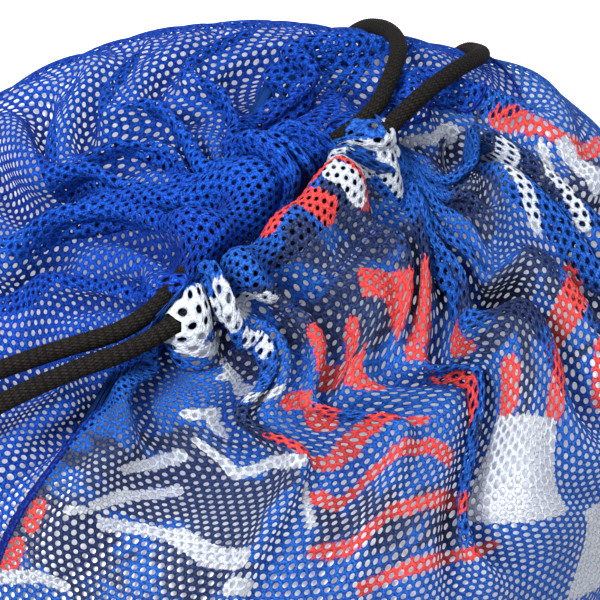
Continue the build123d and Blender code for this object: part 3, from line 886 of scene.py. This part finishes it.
INK_FIELDS = {
    "coral": ink_field(CORAL_STROKES + CORAL_BELOW),
    "white": ink_field(WHITE_STROKES + WHITE_BELOW, WHITE_BLOCKS),
    "navy": ink_field(NAVY_STROKES + NAVY_BELOW),
}


# ---------------------------------------------------------------- mesh building
def build_mesh(name, points, faces, material, uv=None, attributes=None):
    """A smooth object from points and equal-sided faces."""
    faces = np.asarray(faces)
    mesh = bpy.data.meshes.new(name)
    mesh.vertices.add(len(points))
    mesh.vertices.foreach_set("co", np.asarray(points, np.float32).ravel())
    mesh.loops.add(faces.size)
    mesh.loops.foreach_set("vertex_index", faces.ravel().astype(np.int32))
    mesh.polygons.add(len(faces))
    mesh.polygons.foreach_set("loop_start", np.arange(0, faces.size, faces.shape[1], dtype=np.int32))
    mesh.update(calc_edges=True)
    mesh.polygons.foreach_set("use_smooth", np.ones(len(faces), bool))
    if uv is not None:
        layer = mesh.uv_layers.new(name="OFBake")
        layer.data.foreach_set("uv", np.asarray(uv, np.float32)[faces.ravel()].ravel())
    for label, values in (attributes or {}).items():
        kind, field = ("FLOAT_VECTOR", "vector") if values.ndim == 2 else ("FLOAT", "value")
        attribute = mesh.attributes.new(label, kind, "POINT")
        attribute.data.foreach_set(field, values.astype(np.float32).ravel())
    mesh.materials.append(material)
    mesh.validate()
    return link(name, mesh)


def grid_faces(rows, columns, wrap=False):
    index = np.arange(rows * columns).reshape(rows, columns)
    right = np.roll(index, -1, axis=1)
    quads = np.stack([index[:-1], right[:-1], right[1:], index[1:]], -1)
    return (quads if wrap else quads[:, :-1]).reshape(-1, 4)


LIP_REACH = 0.047  # |x| + |y| within which the cloth at the mouth goes into a lip piece
LIP_CORE = 0.017  # and a smaller |x| + |y|, which place_piece turns into a point that it does not use


def place_piece(piece, slot, stands_for=None, face=None, side=None):
    """Rides the bag, or, given a face and side, only has its transform baked in; the CAD part it stands for is
    hidden.
    """
    if face is None:
        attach(piece, "bag")
    else:
        outward = Vector((SIDES[side], FACES[face], 0)).normalized()
        start, end = (outward * reach / sqrt(2) for reach in (LIP_REACH, LIP_CORE))
        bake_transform(piece)
        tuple(start)
        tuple(end)
    if stands_for:
        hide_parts(stands_for)
    return piece


# ---------------------------------------------------------------- perforated mesh
CELL_X = np.array([2, 2, 1, 0, -1, -2, -2, -2, -1, 0, 1, 2])  # quarter pitches
CELL_Y = np.array([0, 2, 3, 4, 3, 2, 0, -2, -3, -4, -3, -2])  # sixths of a row
HOLE_ANGLE = np.arctan2(CELL_Y * ROW_PITCH / 6, CELL_X * HOLE_PITCH / 4)
ROWS_DOWN = int((FLAT_TOP + BASE_DEPTH) / ROW_PITCH) - 1
LOWEST_ROW = -int(BASE_DEPTH / ROW_PITCH)
GATHERED_CLOSE = 0.24  # how much smaller the holes are where the cloth is drawn up
HOLE_UNEVEN = 0.05
KEY_ROW = 100000  # a corner's key is its row times this, plus its column
EXIT_HOLE = 0.0022  # cells this close to a cord's centre line are left out
EXIT_POINTS = 60  # of a run, in which it comes out through the cloth


def cell_places():
    """Every hole of both panels: its row and column, and the middle of it on the flat cloth."""
    row, column = np.mgrid[LOWEST_ROW:LOWEST_ROW + ROWS_DOWN, 0:2 * HOLES_ACROSS]
    row, column = row.ravel(), column.ravel()
    return row, column, (column + 0.5 * (row % 2)) * HOLE_PITCH, row * ROW_PITCH


def perforated(name, row, column, material, inks):
    """A piece of mesh cloth with a hole in the middle of each hexagonal cell."""
    key_x = (4 * column + 2 * (row % 2))[:, None] + CELL_X
    key_y = (6 * row)[:, None] + CELL_Y
    keys, corner = np.unique((key_y * KEY_ROW + key_x).ravel(), return_inverse=True)
    corner = corner.reshape(-1, 12)
    corner_s = (keys % KEY_ROW).astype(float) * HOLE_PITCH / 4
    corner_m = (keys // KEY_ROW).astype(float) * ROW_PITCH / 6
    rng = np.random.default_rng(len(row))
    drawn = 1 - GATHERED_CLOSE * rise(row * ROW_PITCH, 0.43, FLAT_HEM - 0.01)
    size = HOLE_R * (drawn + HOLE_UNEVEN * rng.standard_normal(len(row)))[:, None]
    hole_s = ((column + 0.5 * (row % 2)) * HOLE_PITCH)[:, None] + size * np.cos(HOLE_ANGLE)
    hole_m = (row * ROW_PITCH)[:, None] + size * np.sin(HOLE_ANGLE)
    s = np.concatenate([corner_s, hole_s.ravel()])
    m = np.concatenate([corner_m, hole_m.ravel()])
    rim = np.concatenate([np.zeros(len(keys)), np.ones(hole_s.size)])
    points = on_cloth(s, m, -YARN * rim)
    points[:, 2] = np.maximum(points[:, 2], FLOOR_GAP / 2)
    hole = len(keys) + np.arange(hole_s.size).reshape(-1, 12)
    quads = np.stack([corner, np.roll(corner, -1, axis=1), np.roll(hole, -1, axis=1), hole], -1).reshape(-1, 4)
    attributes = {"flat": np.stack([s, m, np.zeros_like(s)], -1), "rim": rim, "valley": read(valley, s, m)}
    for label, field in inks.items():
        attributes[label] = read_ink(field, s, m)
    uv = np.stack([(s - s.min()) / np.ptp(s), (m - m.min()) / np.ptp(m)], -1)
    return build_mesh(name, points, quads, material, uv, attributes)


def in_the_way(s, m):
    """Cells whose middle lies on a cord's centre line, where the cord comes out through the cloth."""
    middle = read(untouched, s, m)
    hit = np.zeros(len(s), bool)
    for line in run_lines.values():
        for _, some, _, away in near_line(middle, line[:EXIT_POINTS], EXIT_HOLE):
            hit[some] |= np.linalg.norm(away, axis=1) < EXIT_HOLE
    return hit


LIP_STEP = 0.002  # cells this far past the lip's reach still count with it
SLIT_MIDDLE_X = 0.030  # within this the cloth may cross the middle of the slit
SHOULDER_M = 0.446
BANDS = {  # lowest and highest flat place, and the share of the panel's width
    "low_left": (-BASE_DEPTH, 0.150, 0.0, 0.5),
    "low_right": (-BASE_DEPTH, 0.150, 0.5, 1.0),
    "middle": (0.150, 0.300, 0.0, 1.0),
    "upper": (0.300, SHOULDER_M, 0.0, 1.0),
}
SHOULDER_HEIGHT = 0.095  # flat, of the gathered cloth that stays with the bag
LIP_HEIGHT = 0.075  # flat, of the cloth in a lip piece
CLOTHS = {"front": (PRINTED, "printed_mesh", INK_FIELDS), "back": (PLAIN, "blue_mesh", {})}


def make_mesh_cloth():
    row, column, s, m = cell_places()
    keep = ~in_the_way(s, m)
    row, column, s, m = row[keep], column[keep], s[keep], m[keep]
    x, y, _ = read(place, s, m).T
    share = (column % HOLES_ACROSS) / HOLES_ACROSS
    for face, (material, slot, inks) in CLOTHS.items():
        on_face = (column < HOLES_ACROSS) == (face == "front")
        own_side = (y * FACES[face] > -0.001) | (np.abs(x) < SLIT_MIDDLE_X)
        lip = (m >= SHOULDER_M) & (np.abs(x) + np.abs(y) < LIP_REACH + LIP_STEP) & own_side
        picks = {band: ((m >= low) & (m < high) & (share >= left) & (share < right), high - low, None)
                 for band, (low, high, left, right) in BANDS.items()}
        picks["shoulder"] = ((m >= SHOULDER_M) & ~lip, SHOULDER_HEIGHT, None)
        for side in SIDES:
            picks[f"{side}_lip"] = (lip & ((x < 0) == (side == "left")), LIP_HEIGHT, side)
        for band, (pick, height, side) in picks.items():
            pick = pick & on_face
            piece = perforated(f"{face}_mesh_{band}", row[pick], column[pick], material, inks)
            stands_for = f"{face}_casing" if side else f"{face}_panel"
            place_piece(piece, slot, stands_for, face if side else None, side)


# ---------------------------------------------------------------- seams and stitching
SEAM_HALF = 0.0008
SEAM_PROUD = 0.0003
SEAM_TOP_M = FLAT_HEM + 0.006
STITCH_PITCH = 0.0036
STITCH_LENGTH = 0.0026
STITCH_R = 0.00028
SEAM_STEP = 0.0015
UNSTITCHED = 0.004  # at each end of a seam
BOTTOM_SEAM_END_X = 0.150
BOTTOM_SEAM_CLIMBS_X = 0.108  # where it starts to rise to the corners
BOTTOM_SEAM_POINTS = 161


def taped(name, loops, flat):
    """A seam's doubled fold of cloth from the closed loops along it."""
    faces = grid_faces(*loops.shape[:2], wrap=True)
    return build_mesh(name, loops.reshape(-1, 3), faces, BINDING, attributes={"flat": flat.reshape(-1, 3)})


def seam_strip(name, middle_s, m):
    """A narrow doubled fold of cloth up a side seam."""
    across = np.array([-1.0, -0.72, -0.35, 0.0, 0.35, 0.72, 1.0]) * SEAM_HALF
    height = np.array([-0.4, 0.75, 1.0, 0.55, 1.0, 0.75, -0.4]) * SEAM_PROUD
    s = middle_s + np.concatenate([across, across[::-1]])
    s, m, lift = np.broadcast_arrays(s, m[:, None], np.concatenate([height, height[::-1] - 0.5 * SEAM_PROUD]))
    loops = on_cloth(s, m, lift)
    loops[..., 2] = np.maximum(loops[..., 2], FLOOR_GAP / 3)
    return taped(name, loops, np.stack([s, m, np.zeros_like(s)], -1))


def stitches(name, s, m, lift, along_s):
    """Short rounded stitches lying on the cloth at flat places, along the hem or up a seam."""
    reach = np.linspace(-1, 1, 5)
    swell = np.sqrt(np.clip(1 - (reach * 0.93) ** 4, 0.02, 1))
    ds = reach * STITCH_LENGTH / 2 * along_s
    dm = reach * STITCH_LENGTH / 2 * (not along_s)
    spine = on_cloth(s[:, None] + ds, m[:, None] + dm, lift + STITCH_R * 0.6 * (1 - 0.6 * reach**4))
    tangent = unit(spine[:, -1] - spine[:, 0])
    side = unit(np.cross(tangent, read(facing, s, m)))
    up = np.cross(side, tangent)
    angle = np.arange(6) * pi / 3
    ring = np.cos(angle)[:, None, None] * side + np.sin(angle)[:, None, None] * up
    points = spine[:, :, None] + (STITCH_R * swell)[None, :, None, None] * np.moveaxis(ring, 0, 1)[:, None]
    ends = np.array([[0, 1, 2, 3], [0, 3, 4, 5], [24, 27, 26, 25], [24, 29, 28, 27]])
    faces = np.concatenate([grid_faces(5, 6, wrap=True), ends])
    faces = (faces[None] + 30 * np.arange(len(s))[:, None, None]).reshape(-1, 4)
    return build_mesh(name, points.reshape(-1, 3), faces, THREAD)


def make_seams():
    m = np.arange(0, SEAM_TOP_M, SEAM_STEP)
    up = np.arange(UNSTITCHED, SEAM_TOP_M - UNSTITCHED, STITCH_PITCH)
    for name, s in (("left", 0.0), ("right", PANEL_WIDTH)):
        place_piece(seam_strip(f"{name}_seam", s, m), "blue_mesh", f"{name}_side_seam")
        row = stitches(f"{name}_seam_stitching", np.full_like(up, s), up, SEAM_PROUD * 0.5, False)
        place_piece(row, "thread")
    x = np.linspace(-BOTTOM_SEAM_END_X, BOTTOM_SEAM_END_X, BOTTOM_SEAM_POINTS)[:, None]
    across = np.array([-1.0, -0.6, 0.0, 0.6, 1.0]) * SEAM_HALF
    lift = np.array([0.0, 0.35, 0.5, 0.35, 0.0]) * SEAM_PROUD
    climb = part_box("bottom_seam")[1].z * rise(np.abs(x), BOTTOM_SEAM_CLIMBS_X, BOTTOM_SEAM_END_X) ** 2
    top = np.stack(np.broadcast_arrays(x, across, FLOOR_GAP + climb + lift), -1)
    low = top[:, ::-1].copy()
    low[..., 2] = np.maximum(low[..., 2] - 0.0010, FLOOR_GAP * 0.1)
    loops = np.concatenate([top, low], axis=1)
    place_piece(taped("bottom_seam_tape", loops, loops * [1, 1, 0] + [0.16, 0.01, 0]), "blue_mesh", "bottom_seam")


def make_hem_stitching():
    s = np.arange(0.001, RING, STITCH_PITCH)
    m = np.full_like(s, FLAT_HEM - 0.003)
    x = read(place, s, m)[:, 0]
    for face in FACES:
        for side in SIDES:
            pick = ((s < PANEL_WIDTH) == (face == "front")) & ((x < 0) == (side == "left"))
            row = stitches(f"{face}_{side}_hem_stitching", s[pick], m[pick], 0.0, True)
            place_piece(row, "thread", f"{face}_casing_stitching", face, side)


# ---------------------------------------------------------------- stuffing
PACKING_GAP = 0.0010
PACKING_TOP_M = 0.452
PACKING_REACH = 0.0035  # the paper bridges folds narrower than this
PACKING_COLUMNS = 320
PACKING_CRUMPLE = 0.0004
PACKING_SINKS = 0.010  # under the gathers, in all
PACKING_LOWEST = 2.2 * FLOOR_GAP


def innermost(at, out, reach):
    """The deepest the cloth comes round one ring, within the reach of each column; at and reach are shares of it."""
    columns = np.arange(PACKING_COLUMNS) / PACKING_COLUMNS
    deepest = np.full(PACKING_COLUMNS, np.inf)
    np.minimum.at(deepest, np.floor(at * PACKING_COLUMNS).astype(int) % PACKING_COLUMNS, out)
    deepest = np.where(np.isinf(deepest), np.interp(columns, np.sort(at), out[np.argsort(at)]), deepest)
    span = max(int(round(reach * PACKING_COLUMNS)), 1)
    return np.min([np.roll(deepest, shift) for shift in range(-span, span + 1)], axis=0)


def make_stuffing():
    """Crumpled packing paper that fills the bag and lies against the inside of the mesh."""
    rows = np.flatnonzero(m_line <= PACKING_TOP_M)[::2]
    whole = form_lengths[rows, -1]
    depth = np.array([innermost(fold_along[i] / length, fold_out[i], PACKING_REACH / length)
                      for i, length in zip(rows, whole)])
    depth = blur(np.minimum(depth, np.minimum(np.roll(depth, 1, 0), np.roll(depth, -1, 0))), 1.2)
    rng = np.random.default_rng(3)
    depth -= PACKING_GAP + PACKING_SINKS * rise(m_line[rows], 0.425, PACKING_TOP_M)[:, None]
    depth -= PACKING_CRUMPLE * np.abs(soft_noise(rng, depth.shape, 4, 4))
    columns = np.arange(PACKING_COLUMNS) / PACKING_COLUMNS
    points = np.stack([off_form(i, columns * length, out) for i, length, out in zip(rows, whole, depth)])
    points[..., 2] = np.maximum(points[..., 2], PACKING_LOWEST)
    middle = points[-1].mean(0)
    cap = np.stack([points[-1] * (1 - t) + middle * t + [0, 0, 0.002 * sin(7 * t)] for t in (0.25, 0.5, 0.75, 0.94)])
    under = np.stack([points[0] * (1 - t) + np.array([0, 0, PACKING_LOWEST]) * t for t in (0.97, 0.7, 0.35)])
    shell = np.concatenate([under, points, cap])
    faces = grid_faces(*shell.shape[:2], wrap=True)
    stuffing = build_mesh("stuffing", shell.reshape(-1, 3), faces, PACKING)
    place_piece(stuffing, "packing", "packing_sheet")


# ---------------------------------------------------------------- cords
BRAID_STRANDS = 16
BRAID_LAY = 0.0026  # along the cord, from one crossing to the next but one
BRAID_RELIEF = 0.00034
AROUND = 64
CASING_MIDDLE = CASING_POINTS // 2  # the point of a casing pass where its two halves meet


def braided(name, lines, radius=CORD_R, round_ends=False):
    """Braided cord along one or more lines, each open at its ends or rounded there."""
    all_points, all_faces, braid, count = [], [], [], 0
    angle = np.linspace(0, 2 * pi, AROUND, endpoint=False)
    for line in lines:
        line = evenly(line, BRAID_LAY / 4)
        along = np.arange(len(line)) * BRAID_LAY / 4
        across, other = frames_along(line)
        u = angle * BRAID_STRANDS / (2 * pi) + along[:, None] / BRAID_LAY
        v = angle * BRAID_STRANDS / (2 * pi) - along[:, None] / BRAID_LAY
        over = (np.floor(u) + np.floor(v)) % 2
        bump_u, bump_v = np.abs(np.sin(pi * u)), np.abs(np.sin(pi * v))
        bump = np.where(over > 0, bump_u * (0.55 + 0.45 * bump_v), bump_v * (0.55 + 0.45 * bump_u))
        size = radius - BRAID_RELIEF + BRAID_RELIEF * bump
        to_end = np.minimum(along, along[-1] - along) if round_ends else along + 1
        size *= np.sqrt(np.clip(1 - (1 - np.clip(to_end / (0.8 * radius), 0, 1)) ** 2, 0.015, 1))[:, None]
        ring = np.cos(angle)[:, None] * across[:, None] + np.sin(angle)[:, None] * other[:, None]
        points = line[:, None] + size[..., None] * ring
        all_points.append(points.reshape(-1, 3))
        all_faces.append(grid_faces(len(line), AROUND, wrap=True) + count)
        braid.append(np.stack(np.broadcast_arrays(angle * radius, along[:, None], bump), -1).reshape(-1, 3))
        count += points.size // 3
    attributes = {"braid": np.concatenate(braid)}
    return build_mesh(name, np.concatenate(all_points), np.concatenate(all_faces), CORD, attributes=attributes)


def frames_along(points):
    """Two unit directions across a line at each of its points, that turn as little as they can."""
    tangent = unit(np.gradient(points, axis=0))
    across = np.empty_like(points)
    across[0] = unit(np.cross(tangent[0], [0.3, 0.1, 1.0]))
    for i in range(1, len(points)):
        across[i] = unit(across[i - 1] - tangent[i] * (across[i - 1] @ tangent[i]))
    return across, np.cross(tangent, across)


# A knot's strand: across from the eyelet's middle, towards +Y, and up from the eyelet.
STRAND = [
    (0.0031, 0.0085, 0), (0.0031, -0.004, 0), (0.0026, -0.014, -0.0005), (0.0032, -0.022, -0.001),
    (0.0062, -0.031, -0.0042), (0.0105, -0.041, -0.0085), (0.0138, -0.050, -0.0108),
]
WRAP_TURNS = 2.6
WRAP_WIDE, WRAP_HIGH = 0.0074, 0.0058  # from the middle of the knot to the wrap's own middle
WRAP_STARTS_Y, WRAP_PITCH = -0.0078, 0.0056
WRAP_TURNED = 0.4  # radians
WRAP_WOBBLE = 0.0004
KNOT_DROP = 0.0003
KNOT_CORD_R = 0.0029  # pulled tight


def knot_lines(side):
    """Both strands through the eyelet with their tails, and the wraps round them."""
    x, z = side * EYELET.x, EYELET.z
    strands = [nurbs_line([(x + strand * dx, y, z + dz) for dx, y, dz in STRAND]) for strand in (-1, 1)]
    turn = np.linspace(0, WRAP_TURNS * 2 * pi, 90)
    wrap_x = x + WRAP_WIDE * np.cos(turn + WRAP_TURNED)
    wrap_y = WRAP_STARTS_Y - WRAP_PITCH * turn / (2 * pi) + WRAP_WOBBLE * np.sin(turn)
    wrap_z = z - KNOT_DROP + WRAP_HIGH * np.sin(turn + WRAP_TURNED)
    return [*strands, np.stack([wrap_x, wrap_y, wrap_z], -1)]


def make_cords():
    for side_name, side in SIDES.items():
        knot = braided(f"{side_name}_stopper_knot", knot_lines(side), KNOT_CORD_R, round_ends=True)
        place_piece(knot, "black_cord", f"{side_name}_knot")
        for face in ("back", "front"):
            name = f"{side_name}_cord_{face}_run"
            line = run_lines[name]
            run = place_piece(braided(f"{side_name}_cord_{face}", [line]), "black_cord", name)
            tuple(line[0])
            [tuple(point) for point in line[::4]]
    for face in FACES:
        passes = [casing_arc(FACES[face], z) for z in (LOWER_PASS_Z, EXIT_Z)]
        for side in SIDES:
            halves = [line[:CASING_MIDDLE + 1] if side == "left" else line[CASING_MIDDLE:] for line in passes]
            piece = braided(f"{face}_{side}_casing_cords", halves)
            place_piece(piece, "black_cord", f"{face}_casing_cords", face, side)
    for side_name, side in SIDES.items():
        place_piece(braided(f"{side_name}_turn", [turn_arc(side)]), "black_cord", f"{side_name}_cord_turn")


# ---------------------------------------------------------------- stage and light
def make_stage():
    shader = Shader("white floor")
    grain = shader.noise("object", 40.0)
    shader.bump(grain, 0.0001, 0.1)
    colour = shader.mix(shader.ramp(grain, 0.3, 0.7), (0.93, 0.93, 0.93), (0.95, 0.95, 0.95))
    bpy.ops.mesh.primitive_plane_add(size=8)
    plane = bpy.context.object
    plane.name = "floor"
    plane.data.materials.append(shader.finish(colour, 0.9, Emission_Color=(1, 1, 1, 1), Emission_Strength=0.40))


LIGHTS = {  # azimuth and elevation from the middle of the bag, size and power
    "key": (-105, 56, 0.45, 26),
    "fill": (-10, 40, 1.2, 6),
    "top": (100, 66, 0.9, 14),
}
LIGHT_DISTANCE = 1.4
LIGHT_AIM = Vector((0, 0, 0.30))


def make_lights():
    for name, (azimuth, elevation, size, power) in LIGHTS.items():
        data = bpy.data.lights.new(name, "AREA")
        data.size, data.energy = size, power
        lamp = link(name, data)
        away = direction(azimuth, elevation)
        lamp.location = LIGHT_AIM + away * LIGHT_DISTANCE
        lamp.rotation_euler = (-away).to_track_quat("-Z", "Y").to_euler()
    world = bpy.data.worlds.new("studio")
    bpy.context.scene.world = world
    world.use_nodes = True
    background = world.node_tree.nodes["Background"]
    background.inputs["Color"].default_value = (1, 1, 1, 1)
    background.inputs["Strength"].default_value = 0.28
    bpy.context.scene.view_settings.view_transform = "Standard"


# ---------------------------------------------------------------- assembly
make_mesh_cloth()
make_seams()
make_hem_stitching()
make_stuffing()
make_cords()
dress_hardware()
make_stage()
make_lights()
